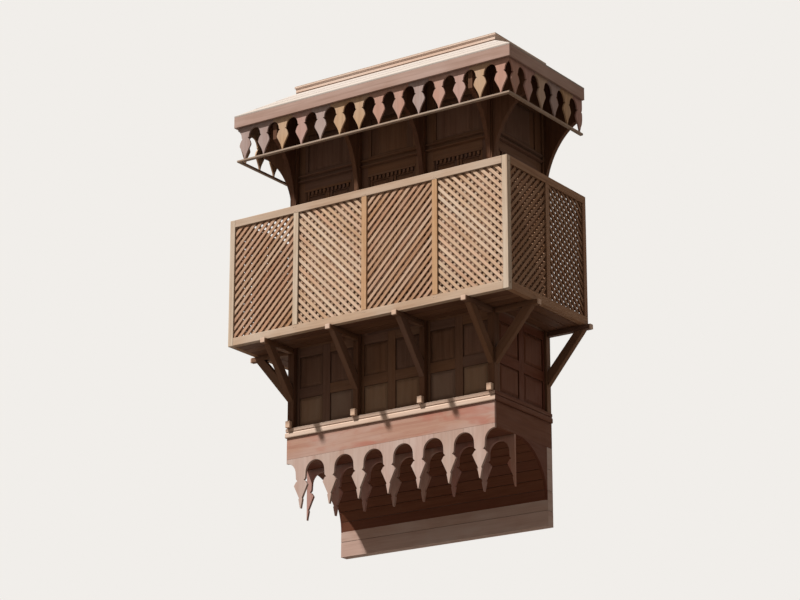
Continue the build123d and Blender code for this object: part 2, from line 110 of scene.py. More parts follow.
# Four posts stand in the front, the outer two on the corners
POST_FACE = 0.835
POST_WIDTH = 0.048
CORNER_POST = 0.060
CORNER_POST_AT = BODY_HALF - CORNER_POST / 2
INNER_POST_AT = span("low_panel_front_2", X)[1] + POST_WIDTH / 2
POST_PLACES = (-CORNER_POST_AT, -INNER_POST_AT, INNER_POST_AT, CORNER_POST_AT)


def linear(colour):
    """The linear red, green, blue and alpha of an sRGB hex colour."""
    parts = [int(colour[i : i + 2], 16) / 255 for i in (1, 3, 5)]
    return [p / 12.92 if p <= 0.04045 else ((p + 0.055) / 1.055) ** 2.4 for p in parts] + [1.0]


def add_node(tree, kind, settings=None, inputs=None):
    """Adds a node with its settings, and its inputs as values or links."""
    node = tree.nodes.new(kind)
    for key, value in (settings or {}).items():
        setattr(node, key, value)
    for key, value in (inputs or {}).items():
        if isinstance(value, bpy.types.NodeSocket):
            tree.links.new(value, node.inputs[key])
        else:
            node.inputs[key].default_value = value
    return node


def per_metre(millimetres):
    """The texture scale whose features are that many millimetres wide."""
    return 1000 / millimetres


# Painted shade in the corners of the joinery: its colour, and how far it reaches out of the corners
CREVICE_SHADE_COLOUR = "#24150D"
CREVICE_SHADE_REACH = 0.035
PORE_DEPTH = 0.0007


def sawn_timber(
    name, tints, streak, bleach, streak_share=0.5, bleach_share=0.4, stain=None, roughness=0.62
):
    """Dry bare timber. Each board has one of the tints, darker streaks follow its grain, the sun has bleached
    it in patches, and old oil or dye may show through in stains. Painted shade darkens it where boards meet."""
    material = bpy.data.materials.new(name)
    material.use_nodes = True
    tree = material.node_tree
    tree.nodes.clear()
    grain = add_node(tree, "ShaderNodeAttribute", {"attribute_name": "grain"}).outputs["Vector"]
    tone = add_node(tree, "ShaderNodeAttribute", {"attribute_name": "tone"}).outputs["Fac"]
    board = add_node(tree, "ShaderNodeValToRGB", None, {"Fac": tone})
    stops = board.color_ramp.elements
    stops[0].color = linear(tints[0])
    stops[1].color = linear(tints[-1])
    for place, tint in enumerate(tints[1:-1], start=1):
        stops.new(place / (len(tints) - 1)).color = linear(tint)
    colour = board.outputs["Color"]

    # Pores are under a millimetre wide and rings three to five. Both are drawn coarser, so that they
    # show from the street. Weather patches are a hand or two wide. Each row has the length along the
    # grain and the width across it in millimetres, where in the noise it starts and is full, how much
    # it covers, and its colour
    patterns = {}
    layers = [
        ("rings", 700, 26, 0.42, 0.70, streak_share, streak),
        ("pores", 160, 6, 0.45, 0.75, streak_share * 0.7, streak),
        ("patches", 700, 230, 0.42, 0.72, bleach_share, bleach),
    ]
    if stain:
        layers.append(("stains", 380, 150, 0.52, 0.66, 0.65, stain))
    for kind, along_mm, across_mm, low, high, share, tint in layers:
        scale = (per_metre(along_mm), per_metre(across_mm), per_metre(across_mm))
        place = add_node(tree, "ShaderNodeVectorMath", {"operation": "MULTIPLY"}, {0: grain, 1: scale})
        settings = {"Vector": place.outputs[0], "Scale": 1.0}
        settings |= {"Detail": 3.0, "Roughness": 0.6, "Distortion": 0.3}
        noise = add_node(tree, "ShaderNodeTexNoise", None, settings).outputs["Fac"]
        settings = {"Value": noise, "From Min": low, "From Max": high, "To Min": 0.0, "To Max": share}
        amount = add_node(tree, "ShaderNodeMapRange", None, settings).outputs["Result"]
        settings = {0: amount, 6: colour, 7: linear(tint)}
        colour = add_node(tree, "ShaderNodeMix", {"data_type": "RGBA"}, settings).outputs[2]
        patterns[kind] = noise

    # Painted shade: the wood is darkened where boards meet, by how much ambient occlusion finds each point
    # hidden
    settings = {"Distance": CREVICE_SHADE_REACH}
    corners = add_node(tree, "ShaderNodeAmbientOcclusion", {"samples": 4}, settings).outputs["AO"]
    settings = {"Value": corners, "From Min": 0.35, "From Max": 0.95, "To Min": 0.55, "To Max": 0.0}
    crevice_shade_amount = add_node(tree, "ShaderNodeMapRange", None, settings).outputs["Result"]
    settings = {0: crevice_shade_amount, 6: colour, 7: linear(CREVICE_SHADE_COLOUR)}
    colour = add_node(tree, "ShaderNodeMix", {"data_type": "RGBA"}, settings).outputs[2]

    # Rings and pores stand as low ridges, and the pores are the rougher
    settings = {0: patterns["rings"], 1: patterns["pores"]}
    ridges = add_node(tree, "ShaderNodeMath", {"operation": "ADD"}, settings).outputs[0]
    settings = {"Strength": 0.35, "Distance": PORE_DEPTH, "Height": ridges}
    bump = add_node(tree, "ShaderNodeBump", None, settings).outputs["Normal"]
    settings = {"Value": patterns["pores"], "From Min": 0.3, "From Max": 0.7}
    settings |= {"To Min": roughness - 0.08, "To Max": roughness + 0.12}
    rough = add_node(tree, "ShaderNodeMapRange", None, settings).outputs["Result"]

    # Open pores and dust leave a dry board hardly any gloss
    settings = {"Base Color": colour, "Roughness": rough, "Normal": bump}
    settings |= {"IOR": 1.5, "Specular IOR Level": 0.08}
    skin = add_node(tree, "ShaderNodeBsdfPrincipled", None, settings)
    add_node(tree, "ShaderNodeOutputMaterial", None, {"Surface": skin.outputs[0]})
    return material


# Teak laths, planed and left bare: tan, with a little orange in the darker ones
lath_teak = sawn_timber(
    "bleached_teak_laths",
    ("#BD9573", "#D2B095", "#C89F84", "#D8BCA4"),
    "#9A6F55",
    "#DFD0C1",
)
# A lighter, greyer copy of the laths for front panels 2 and 4: painted light, for the way the light falls on
# their slats
painted_light_lath_teak = sawn_timber(
    "painted_light_teak_laths",
    ("#D1AD8B", "#E6CAB0", "#DCB89E", "#E9D5C0"),
    "#A67D61",
    "#EBE2D4",
)
# A darker, browner copy of the laths for the laths and rails on the two sides: painted shade for the shaded
# sides
shade_darkened_lath_teak = sawn_timber(
    "painted_shade_teak_laths",
    ("#9C7556", "#AC886C", "#A37B60", "#B19077"),
    "#7A5440",
    "#BBA48F",
    bleach_share=0.3,
)
# Planed teak rails and stiles: paler than the laths and greyed by rain
rail_teak = sawn_timber(
    "planed_teak_rails",
    ("#D6C3B0", "#C9B29E", "#D3B79C", "#DCCEBC"),
    "#AA8D76",
    "#E6E0D8",
)
# Stiles of newer teak that keep their orange
orange_teak = sawn_timber(
    "newer_teak_stiles",
    ("#D1AB84", "#CFAA87"),
    "#B1845A",
    "#DAC7AF",
    bleach_share=0.25,
)
# Oiled teak of the closet, its floor, the joists and the struts: brown with a grey or mauve cast
panel_teak = sawn_timber(
    "oiled_teak_panels",
    ("#80604B", "#86644C", "#755B4F", "#826353"),
    "#50382A",
    "#8E7769",
    streak_share=0.3,
    bleach_share=0.3,
)
# The lower fields: a greyer, lighter copy of the panel teak, painted light for the light thrown up onto the
# foot of the wall
painted_light_field_teak = sawn_timber(
    "painted_light_teak_fields",
    ("#93765F", "#9A7B62", "#877063", "#947969"),
    "#6B5445",
    "#A69585",
    streak_share=0.22,
    bleach_share=0.35,
)
# Dark teak of the posts and the brackets: deep brown under worn oil. On the floor of the box the same dark
# teak is painted shade, for the shade under the box
post_teak = sawn_timber(
    "dark_teak_posts",
    ("#6D4C38", "#775540", "#654637"),
    "#422B1F",
    "#856957",
    bleach_share=0.3,
)
# Apron and inner fringe of sawn red meranti: dusty salmon, redder where the dust is off
apron_meranti = sawn_timber(
    "dusty_red_meranti",
    ("#BA8F81", "#C19D8D", "#B18A83", "#C09E97"),
    "#9D6454",
    "#CDBCB8",
    streak_share=0.35,
    bleach_share=0.5,
    stain="#B8786A",
)
# A dark red brown copy of the apron meranti for the parts out of the sun: painted shade
shade_darkened_meranti = sawn_timber(
    "painted_shade_red_meranti",
    ("#704331", "#754B37", "#6A3F30", "#754C3C"),
    "#532A1D",
    "#7C5948",
    streak_share=0.35,
    bleach_share=0.3,
)
# Meranti that the rain has silvered, on the front fringe and the foot: pale, with a rose cast
fringe_meranti = sawn_timber(
    "silvered_meranti",
    ("#CAAFA6", "#C4AA9F", "#D0B9B3"),
    "#A18377",
    "#DDD4D1",
    streak_share=0.4,
    bleach_share=0.5,
)
# Pale ash of the cornice: nearly white. The joist ends and the posts' feet take it too, as a painted
# highlight for their sunlit faces
cornice_ash = sawn_timber(
    "pale_ash_and_painted_highlight",
    ("#E6CEBE", "#E3C6B0"),
    "#C39C86",
    "#F0E7E0",
    streak_share=0.35,
)
# Frieze boards of several timbers side by side: rose, sand and lilac grey
frieze_wood = sawn_timber(
    "mixed_frieze_boards",
    ("#C69F98", "#CFAF8D", "#B7A6A5", "#C9A092", "#D1B9A4"),
    "#99786A",
    "#D0C6C2",
    streak_share=0.35,
)
# Teak of the frieze's thin rail and the crown's top boards, gone silver grey in the rain
grey_teak = sawn_timber(
    "silvered_teak_strip",
    ("#BBA898", "#B5A394"),
    "#8E7A6B",
    "#CEC6BE",
    streak_share=0.35,
)
# Meranti fascia of one wide board a side: mauve brown
fascia_meranti = sawn_timber(
    "mauve_fascia_boards",
    ("#BDA29A", "#B59889", "#C1A6A1"),
    "#967768",
    "#D6C4C0",
)
# Pine boards of the crown, newer than the rest and bleached by the sun: cream with a rose cast
crown_pine = sawn_timber(
    "bleached_pine_crown",
    ("#EBD0BE", "#E4C8B8", "#ECD8CB"),
    "#C3A58D",
    "#EFE5DE",
    streak_share=0.3,
)
# Boards under a worn coat of limewash: chalky and matt, with hardly any grain left
limewash = sawn_timber(
    "limewashed_boards",
    ("#BDB7B4", "#C0BAB6", "#B9B2AD"),
    "#ACA39C",
    "#C8C3C0",
    streak_share=0.15,
    bleach_share=0.5,
    roughness=0.8,
)


def prism_faces(count):
    """The faces of a prism whose two ends have that many points, one end after the other."""
    ends = [tuple(range(count)), tuple(range(2 * count - 1, count - 1, -1))]
    sides = [(i, (i + 1) % count, count + (i + 1) % count, count + i) for i in range(count)]
    return ends + sides


class Timber:
    """Boards gathered into one mesh. Each has its own grain coordinates and a tone of its own."""

    def __init__(self, seed):
        self.chance = random.Random(seed)
        self.points = []
        self.faces = []
        self.grain = []
        self.tones = []

    def add(self, points, faces, along, tone=None):
        """Adds a closed shape whose grain runs along a direction."""
        along = Vector(along).normalized()
        across = along.orthogonal().normalized()
        third = along.cross(across)
        shift = Vector([self.chance.uniform(0, 40) for _ in range(3)])
        own_tone = self.chance.random()
        tone = own_tone if tone is None else tone
        first = len(self.points)
        for point in points:
            self.points.append(point)
            self.grain.append(Vector((point.dot(along), point.dot(across), point.dot(third))) + shift)
            self.tones.append(tone)
        self.faces += [tuple(first + i for i in face) for face in faces]

    def prism(self, outline, push, along, tone=None):
        """Adds a flat outline pushed along a vector."""
        points = list(outline) + [p + push for p in outline]
        self.add(points, prism_faces(len(outline)), along, tone)

    def board(self, low, high, along, tone=None):
        """Adds a board between two corners."""
        (x0, y0, z0), (x1, y1, z1) = low, high
        outline = [Vector(p) for p in ((x0, y0, z0), (x1, y0, z0), (x1, y1, z0), (x0, y1, z0))]
        self.prism(outline, Vector((0, 0, z1 - z0)), along, tone)

    def finish(self, name, material, stands_for, bevel=0.002):
        """Makes the object, rounds its edges and ties it to the frame."""
        mesh = bpy.data.meshes.new(name)
        mesh.from_pydata(self.points, [], self.faces)
        flat = [value for vector in self.grain for value in vector]
        mesh.attributes.new("grain", "FLOAT_VECTOR", "POINT").data.foreach_set("vector", flat)
        mesh.attributes.new("tone", "FLOAT", "POINT").data.foreach_set("value", self.tones)
        shape = bmesh.new()
        shape.from_mesh(mesh)
        bmesh.ops.recalc_face_normals(shape, faces=shape.faces)
        shape.to_mesh(mesh)
        shape.free()
        mesh.materials.append(material)
        piece = bpy.data.objects.new(name, mesh)
        bpy.context.scene.collection.objects.link(piece)
        edge = piece.modifiers.new("worn_edges", "BEVEL")
        edge.width = bevel
        edge.segments = 2
        edge.limit_method = "ANGLE"
        edge.angle_limit = math.radians(35)
        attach(piece, "root")
        if stands_for:
            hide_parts(*stands_for)


class Face:
    """A face of the joinery: s runs along it, z is up and d stands out of it."""

    def __init__(self, origin, along, out):
        self.origin = Vector(origin)
        self.along = Vector(along)
        self.out = Vector(out)

    def at(self, s, z, d=0.0):
        """The point at a place on the face."""
        return self.origin + self.along * s + Z_AXIS * z + self.out * d


FRONT = Face((0, -BODY_FACE, 0), X_AXIS, -Y_AXIS)
RIGHT = Face((SIDE_FACE, 0, 0), Y_AXIS, X_AXIS)
LEFT = Face((-SIDE_FACE, 0, 0), Y_AXIS, -X_AXIS)
BOX_FRONT = Face((0, -BOX_DEPTH, 0), X_AXIS, -Y_AXIS)
BOX_RIGHT = Face((BOX_HALF, 0, 0), Y_AXIS, X_AXIS)
BOX_LEFT = Face((-BOX_HALF, 0, 0), Y_AXIS, -X_AXIS)
FRIEZE_FRONT = Face((0, -FRIEZE_DEPTH, 0), X_AXIS, -Y_AXIS)
FRIEZE_RIGHT = Face((FRIEZE_HALF, 0, 0), Y_AXIS, X_AXIS)
FRIEZE_LEFT = Face((-FRIEZE_HALF, 0, 0), Y_AXIS, -X_AXIS)


def slab(timber, face, s0, s1, z0, z1, d0, d1, upright=False, tone=None):
    """Adds a board on a face, with its grain along it or upright."""
    outline = [face.at(s0, z0, d0), face.at(s1, z0, d0), face.at(s1, z1, d0), face.at(s0, z1, d0)]
    timber.prism(outline, face.out * (d1 - d0), Z_AXIS if upright else face.along, tone)


def strip(timber, face, s0, s1, profile):
    """Adds a moulding along a face from its section in (z, d)."""
    outline = [face.at(s0, z, d) for z, d in profile]
    timber.prism(outline, face.along * (s1 - s0), face.along)


FIELD_MARGIN = 0.006
FIELD_SLOPE = 0.022


def fielded_panel(timber, face, s0, s1, z0, z1, back, flat, top, slope=FIELD_SLOPE):
    """Adds a raised and fielded panel: a flat rim, four slopes and a raised middle."""
    rings = []
    for inset, d in ((0.0, back), (0.0, flat), (FIELD_MARGIN, flat), (FIELD_MARGIN + slope, top)):
        left, right = s0 + inset, s1 - inset
        low, high = z0 + inset, z1 - inset
        rings.append([face.at(s, z, d) for s, z in ((left, low), (right, low), (right, high), (left, high))])
    points = [p for ring in rings for p in ring]
    faces = [(0, 1, 2, 3), (12, 13, 14, 15)]
    for level in range(3):
        for i in range(4):
            j = (i + 1) % 4
            faces.append((4 * level + i, 4 * level + j, 4 * level + 4 + j, 4 * level + 4 + i))
    timber.add(points, faces, Z_AXIS)


def round_three_sides(timber, half, depth, section, back=0.0, tones=(None, None, None), returns=None):
    """Adds three mitred boards round the front and sides, from a section in (d, z). The two side
    boards go to returns where it is given."""
    faces = prism_faces(len(section))
    front = [Vector((-half - d, -depth - d, z)) for d, z in section]
    front += [Vector((half + d, -depth - d, z)) for d, z in section]
    timber.add(front, faces, X_AXIS, tones[0])
    for sign, tone in ((-1, tones[1]), (1, tones[2])):
        run = [Vector((sign * (half + d), -depth - d, z)) for d, z in section]
        run += [Vector((sign * (half + d), -back, z)) for d, z in section]
        (returns or timber).add(run, faces, Y_AXIS, tone)


def arc(centre, radius, start, end, steps):
    """Points of a circle in two dimensions, angles in degrees."""
    turns = [math.radians(start + (end - start) * i / steps) for i in range(steps + 1)]
    return [(centre[0] + radius * math.cos(t), centre[1] + radius * math.sin(t)) for t in turns]


# Lattice: two crossing layers of slats, let into the frames. None is quite parallel to the next
SLAT_PITCH = 0.048
SLAT_WIDTH = 0.026
SLAT_THICKNESS = 0.010
SLAT_SETBACK = 0.010
SLAT_LET_IN = 0.004
SLAT_SLIP = 0.0008
SLAT_TURN_SLIP = 0.25
LEAN = 45


def cut(outline, normal, limit):
    """Keeps the part of a convex outline where the dot product with the normal is under the limit."""
    kept = []
    for i, here in enumerate(outline):
        after = outline[(i + 1) % len(outline)]
        a = here[0] * normal[0] + here[1] * normal[1] - limit
        b = after[0] * normal[0] + after[1] * normal[1] - limit
        if a <= 0:
            kept.append(here)
        if (a < 0 < b) or (b < 0 < a):
            t = a / (a - b)
            kept.append((here[0] + (after[0] - here[0]) * t, here[1] + (after[1] - here[1]) * t))
    return kept


def slat_panel(name, face, edges, lean, node, seed, material):
    """Makes the lattice panel between two edges, with its slats at the real spacing."""
    timber = Timber(seed)
    s0, s1 = edges[0] - SLAT_LET_IN, edges[1] + SLAT_LET_IN
    z0, z1 = OPENING_LOW - SLAT_LET_IN, OPENING_HIGH + SLAT_LET_IN
    middle = ((s0 + s1) / 2, (z0 + z1) / 2)
    rows = int((edges[1] - edges[0] + z1 - z0) * math.sqrt(0.5) / 2 / SLAT_PITCH) + 2
    for layer, turn in enumerate((lean, -lean)):
        for row in range(-rows, rows + 1):
            angle = math.radians(turn + timber.chance.uniform(-SLAT_TURN_SLIP, SLAT_TURN_SLIP))
            along = (math.cos(angle), math.sin(angle))
            normal = (-along[1], along[0])
            here = middle[0] * normal[0] + middle[1] * normal[1]
            here += (row + 0.5) * SLAT_PITCH + timber.chance.uniform(-SLAT_SLIP, SLAT_SLIP)
            outline = cut([(s0, z0), (s1, z0), (s1, z1), (s0, z1)], normal, here + SLAT_WIDTH / 2)
            outline = cut(outline, (-normal[0], -normal[1]), -(here - SLAT_WIDTH / 2))
            if len(outline) < 3:
                continue
            depth = -SLAT_SETBACK - layer * SLAT_THICKNESS
            points = [face.at(s, z, depth) for s, z in outline]
            timber.prism(points, face.out * -SLAT_THICKNESS, face.along * along[0] + Z_AXIS * along[1])
    timber.finish(name, material, [node], bevel=0.0012)


# Front panels 2 and 4 take the lighter lath copy, which is painted light
for number in (1, 2, 3, 4):
    node = f"lattice_front_{number}"
    lean, material = (LEAN, lath_teak) if number % 2 else (-LEAN, painted_light_lath_teak)
    slat_panel(f"slats_front_{number}", BOX_FRONT, span(node, X), lean, node, number, material)
# The side panels take the darker lath copy, which is painted shade
for number in (1, 2):
    lean = LEAN if number % 2 else -LEAN
    for side, face, seed in (("right", BOX_RIGHT, 10), ("left", BOX_LEFT, 20)):
        node = f"lattice_{side}_{number}"
        name = f"slats_{side}_{number}"
        slat_panel(name, face, span(node, Y), lean, node, seed + number, shade_darkened_lath_teak)

# Frames of the lattice box, pegged at their joints
STILE = 0.050
FRONT_STILE_AT = 0.680
SIDE_STILE_AT = -BOX_DEPTH / 2
PEG_RADIUS = 0.006
PEG_PROUD = 0.0015
PEG_LET_IN = 0.010
PEG_APART = 0.012
PEG_ROWS = (OPENING_LOW - 0.017, OPENING_HIGH + 0.017)


def pegs(timber, face, places):
    """Adds round wooden pegs at places along a frame, on its lower and its upper rail."""
    for s in places:
        for z in PEG_ROWS:
            outline = [face.at(*place, -PEG_LET_IN) for place in arc((s, z), PEG_RADIUS, 0, 330, 11)]
            timber.prism(outline, face.out * (PEG_LET_IN + PEG_PROUD), face.out, 0.1)


def stile(timber, face, middle, tone=None):
    """Adds an upright between the two rails of a frame."""
    s0, s1 = middle - STILE / 2, middle + STILE / 2
    slab(timber, face, s0, s1, OPENING_LOW, OPENING_HIGH, -FRAME_THICKNESS, 0, True, tone)


rails = Timber(31)
slab(rails, BOX_FRONT, -BOX_INNER, BOX_INNER, OPENING_HIGH, BOX_TOP, -FRAME_THICKNESS, 0, tone=0.33)
slab(rails, BOX_FRONT, -BOX_INNER, BOX_INNER, BOX_FLOOR, OPENING_LOW, -FRAME_THICKNESS, 0, tone=0.45)
stile(rails, BOX_FRONT, -FRONT_STILE_AT, 1.0)
front_stiles = (-FRONT_STILE_AT, 0.0, FRONT_STILE_AT)
pegs(rails, BOX_FRONT, [s + side * PEG_APART for s in front_stiles for side in (-1, 1)])
rails.finish("box_rails_front", rail_teak, ["lattice_frame_front"], bevel=0.003)

newer_stiles = Timber(32)
stile(newer_stiles, BOX_FRONT, 0.0)
stile(newer_stiles, BOX_FRONT, FRONT_STILE_AT)
newer_stiles.finish("box_newer_stiles", orange_teak, [], bevel=0.003)

# The side rails take the darker lath copy too, which is painted shade
side_rails = Timber(35)
corner_inner = STILE - BOX_DEPTH
side_pegs = (STILE / 2 - BOX_DEPTH, SIDE_STILE_AT - PEG_APART, SIDE_STILE_AT + PEG_APART, -STILE / 2)
for side, face, seed in (("right", BOX_RIGHT, 33), ("left", BOX_LEFT, 34)):
    corner = Timber(seed)
    slab(corner, face, -BOX_DEPTH, corner_inner, BOX_FLOOR, BOX_TOP, -FRAME_THICKNESS, 0, True, 0.95)
    stile(side_rails, face, SIDE_STILE_AT)
    stile(side_rails, face, -STILE / 2)
    slab(side_rails, face, corner_inner, 0, OPENING_HIGH, BOX_TOP, -FRAME_THICKNESS, 0)
    slab(side_rails, face, corner_inner, 0, BOX_FLOOR, OPENING_LOW, -FRAME_THICKNESS, 0)
    pegs(side_rails, face, side_pegs)
    corner.finish(f"box_corner_{side}", rail_teak, [f"lattice_frame_{side}"], bevel=0.003)
side_rails.finish("box_side_rails", shade_darkened_lath_teak, [], bevel=0.003)

# Floor of the box, planks with open joints, in the dark post teak: painted shade under the box
PLANK_GAP = 0.003
BOX_PLANK_TOP = BOX_FLOOR + 0.020
FRONT_PLANK_EDGES = (-BOX_INNER_DEPTH, -1.032, -0.934, -POST_FACE)
SIDE_PLANK = 0.1027
floor = Timber(41)
for y0, y1 in zip(FRONT_PLANK_EDGES, FRONT_PLANK_EDGES[1:]):
    low = (-BOX_INNER, y0 + PLANK_GAP / 2, BOX_FLOOR)
    floor.board(low, (BOX_INNER, y1 - PLANK_GAP / 2, BOX_PLANK_TOP), X_AXIS)
for side in (-1, 1):
    for k in range(3):
        x0, x1 = sorted((side * (BODY_HALF + k * SIDE_PLANK), side * (BODY_HALF + (k + 1) * SIDE_PLANK)))
        low = (x0 + PLANK_GAP / 2, -POST_FACE, BOX_FLOOR)
        floor.board(low, (x1 - PLANK_GAP / 2, 0, BOX_PLANK_TOP), Y_AXIS)
floor.finish("box_floor_planks", post_teak, ["balcony_floor"])

# Joists under the box, whose last piece is the pale ash: a painted highlight for the sunlit ends
JOIST = 0.044
JOIST_END = 0.045
PALE_END = 0.012
CORNER_STRUT_AT = -0.800
SIDE_JOISTS = (CORNER_STRUT_AT, -JOIST / 2)
joists = Timber(42)
joist_ends = Timber(44)
runs = [((x, -POST_FACE), (x, -BOX_DEPTH - JOIST_END)) for x in POST_PLACES]
runs += [((side * BODY_HALF, y), (side * (BOX_HALF + JOIST_END), y)) for side in (-1, 1) for y in SIDE_JOISTS]
for (x0, y0), (x1, y1) in runs:
    along = Vector((x1 - x0, y1 - y0, 0)).normalized()
    across = Vector((-along.y, along.x, 0)) * (JOIST / 2)
    start = Vector((x0, y0, JOIST_LOW))
    end = Vector((x1, y1, JOIST_LOW))
    shoulder = end - along * PALE_END
    for timber, a, b in ((joists, start, shoulder), (joist_ends, shoulder, end)):
        outline = [a - across, b - across, b + across, a + across]
        timber.prism(outline, Z_AXIS * (BOX_FLOOR - JOIST_LOW), along)
joists.finish("box_joists", panel_teak, ["joists"], bevel=0.0015)
joist_ends.finish("box_joist_ends", cornice_ash, [], bevel=0.003)

# Struts from the posts up to the joists
STRUT = 0.048
STRUT_FOOT_LOW = 0.262
STRUT_FOOT_HIGH = 0.384
STRUT_HEAD_LOW = 0.012
STRUT_HEAD_HIGH = 0.102
STRUT_RISE = 0.379
FRONT_STRUT_RUN = 0.305
SIDE_STRUT_RUN = 0.338
struts = Timber(43)


def strut_outline(foot, outer):
    """The side of a strut in (distance from the closet, height), from a post up to a joist."""
    head = [(outer - STRUT_HEAD_LOW, JOIST_LOW), (outer - STRUT_HEAD_HIGH, JOIST_LOW)]
    return [(foot, STRUT_FOOT_LOW)] + head + [(foot, STRUT_FOOT_HIGH)]


for x in POST_PLACES:
    outline = [Vector((x - STRUT / 2, -d, z)) for d, z in strut_outline(POST_FACE, BOX_DEPTH)]
    struts.prism(outline, X_AXIS * STRUT, (0, -FRONT_STRUT_RUN, STRUT_RISE))
for side in (-1, 1):
    for y in (CORNER_STRUT_AT, -STRUT / 2):
        outline = [Vector((side * d, y - STRUT / 2, z)) for d, z in strut_outline(BODY_HALF, BOX_HALF)]
        struts.prism(outline, Y_AXIS * STRUT, (side * SIDE_STRUT_RUN, 0, STRUT_RISE))
struts.finish("box_struts", panel_teak, ["struts"], bevel=0.003)

# Posts, and their feet that stand proud on the cornice, the feet in the pale ash as a painted highlight for
# their sunlit faces
POST_FOOT_FACE = 0.874
POST_FOOT_WIDTH = 0.044
POST_FOOT_TOP = FLOOR_TOP + 0.056
posts = Timber(51)
post_feet = Timber(50)
for x, width in zip(POST_PLACES, (CORNER_POST, POST_WIDTH, POST_WIDTH, CORNER_POST)):
    posts.board((x - width / 2, -POST_FACE, FLOOR_TOP), (x + width / 2, -WALL_BACK, BODY_TOP), Z_AXIS)
    low = (x - POST_FOOT_WIDTH / 2, -POST_FOOT_FACE, FLOOR_TOP)
    post_feet.board(low, (x + POST_FOOT_WIDTH / 2, -POST_FACE, POST_FOOT_TOP), Y_AXIS, 0.95)
posts.finish("body_posts", post_teak, ["front_posts"], bevel=0.003)
post_feet.finish("body_post_feet", cornice_ash, [], bevel=0.003)

# Frame on the house wall, and the floor inside
SILL_TOP = 0.100
WALL_HEAD = 2.926
INNER_PLANKS = 5
INNER_PLANK = (WALL_BACK - WALL_POST) / INNER_PLANKS
inner = BODY_HALF - CORNER_POST
wall_frame = Timber(52)
for x0 in (-BODY_HALF, inner):
    wall_frame.board((x0, -WALL_POST, FLOOR_TOP), (x0 + CORNER_POST, 0, CROWN_LOW), Z_AXIS)
wall_frame.board((-inner, -WALL_POST, SILL_BOTTOM), (inner, 0, SILL_TOP), X_AXIS)
wall_frame.board((-inner, -WALL_POST, WALL_HEAD), (inner, 0, CROWN_LOW), X_AXIS)
wall_frame.finish("wall_frame_beams", panel_teak, ["wall_frame"], bevel=0.003)

inner_floor = Timber(53)
for k in range(INNER_PLANKS):
    y0 = -WALL_BACK + k * INNER_PLANK
    low = (-inner, y0 + PLANK_GAP / 2, FLOOR_LOW)
    inner_floor.board(low, (inner, y0 + INNER_PLANK - PLANK_GAP / 2, FLOOR_TOP), X_AXIS)
inner_floor.finish("inner_floor_planks", panel_teak, ["floor_board"])

# Walls below the box: stiles, rails and two by two fielded panels
LOW_EDGE_STILE = 0.026
LOW_MIDDLE_STILE = 0.074
LOW_FIELDS = (0.062, 0.292)
HIGH_FIELDS = (0.376, 0.640)
PANEL_BACK = -0.028
PANEL_RIM = -0.010
PANEL_TOP = -0.001


def low_wall(timber, lower_fields, face, s0, s1):
    """Adds the wall below the box. Its two lower panels go to a timber of their own."""
    a, b = s0 + LOW_EDGE_STILE, s1 - LOW_EDGE_STILE
    middle = (s0 + s1) / 2
    c, d = middle - LOW_MIDDLE_STILE / 2, middle + LOW_MIDDLE_STILE / 2
    for low, high in ((s0, a), (c, d), (b, s1)):
        slab(timber, face, low, high, FLOOR_TOP, BOX_FLOOR, -WALL_THICKNESS, 0, True)
    rail_rows = ((FLOOR_TOP, LOW_FIELDS[0]), (LOW_FIELDS[1], HIGH_FIELDS[0]), (HIGH_FIELDS[1], BOX_FLOOR))
    for low, high in ((a, c), (d, b)):
        for z0, z1 in rail_rows:
            slab(timber, face, low, high, z0, z1, -WALL_THICKNESS, 0)
        fielded_panel(lower_fields, face, low, high, *LOW_FIELDS, PANEL_BACK, PANEL_RIM, PANEL_TOP)
        fielded_panel(timber, face, low, high, *HIGH_FIELDS, PANEL_BACK, PANEL_RIM, PANEL_TOP)


# Walls round the windows, with a twin moulding and one raised panel above
BAY_STILE = 0.060
HEAD_PANEL = (2.250, 2.580)
HEAD_PANEL_STILE = 0.090
HEAD_FIELD_INSET = 0.156
HEAD_FIELD_BACK = -0.012
HEAD_FIELD_RIM = -0.0095
MOULDING_PLACES = (2.159, 2.205)
MOULDING = ((0.0, 0.0), (0.003, 0.012), (0.006, 0.012), (0.008, 0.024))
MOULDING += ((0.016, 0.024), (0.022, 0.010), (0.022, 0.0))


def window_wall(timber, face, s0, s1):
    """Adds the wall round a window, with its twin moulding and the fielded panel above."""
    a, b = s0 + BAY_STILE, s1 - BAY_STILE
    for low, high in ((s0, a), (b, s1)):
        slab(timber, face, low, high, BOX_FLOOR, BODY_TOP, -WALL_THICKNESS, 0, True)
    for z0, z1 in ((BOX_FLOOR, WINDOW_LOW), (WINDOW_HIGH, HEAD_PANEL[0]), (HEAD_PANEL[1], BODY_TOP)):
        slab(timber, face, a, b, z0, z1, -WALL_THICKNESS, 0)
    c, d = s0 + HEAD_PANEL_STILE, s1 - HEAD_PANEL_STILE
    for low, high in ((a, c), (d, b)):
        slab(timber, face, low, high, *HEAD_PANEL, -WALL_THICKNESS, 0, True)
    slab(timber, face, c, d, *HEAD_PANEL, PANEL_BACK, PANEL_RIM, True)
    field = (s0 + HEAD_FIELD_INSET, s1 - HEAD_FIELD_INSET)
    fielded_panel(timber, face, *field, *HEAD_PANEL, HEAD_FIELD_BACK, HEAD_FIELD_RIM, PANEL_TOP)
    for place in MOULDING_PLACES:
        strip(timber, face, s0, s1, [(place + z, d) for z, d in MOULDING])


